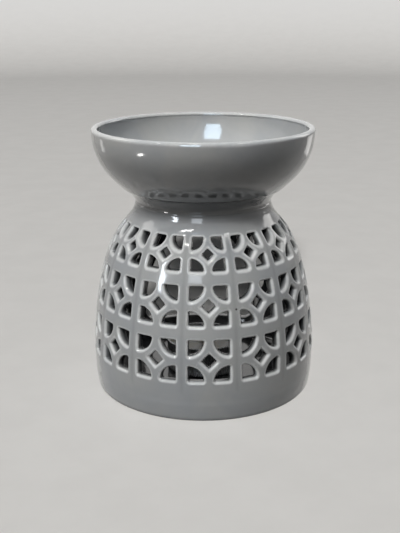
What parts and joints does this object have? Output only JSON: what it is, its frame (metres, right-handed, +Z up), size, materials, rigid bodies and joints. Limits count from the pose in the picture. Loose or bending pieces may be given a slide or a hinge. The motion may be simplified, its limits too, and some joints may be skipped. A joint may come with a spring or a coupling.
{
  "type": "wax melt burner",
  "caption": "Glazed ceramic wax melt burner: a pierced dome with an arched rear doorway for a tealight, a narrow neck and a shallow round melt dish on top.",
  "frame": {"origin": "centre of the foot ring, on the surface that the burner stands on", "axes": "+Z up, +Y out through the rear doorway, so the pictured front faces -Y"},
  "size_m": [0.1118, 0.1117, 0.13],
  "materials": {
    "glaze": "glossy mid-grey glaze, paler where it thins over rims and hole edges",
    "cup_aluminium": "bright pressed foil",
    "candle_wax": "soft translucent wax",
    "sustainer_steel": "tinned sheet steel",
    "wick_cotton": "waxed braided cotton"
  },
  "bodies": {
    "burner": {"burner_body": "glaze", "joining_slip": "glaze", "melt_dish": "glaze"},
    "tealight": {"tealight_cup": "cup_aluminium", "tealight_wax": "candle_wax", "wick_sustainer": "sustainer_steel", "tealight_wick": "wick_cotton"}
  },
  "joints": [
    {"name": "tealight_slide", "type": "slide", "parent": "burner", "child": "tealight", "axis": [0, 0.9511, 0.309], "range_m": [0, 0.095]}
  ]
}
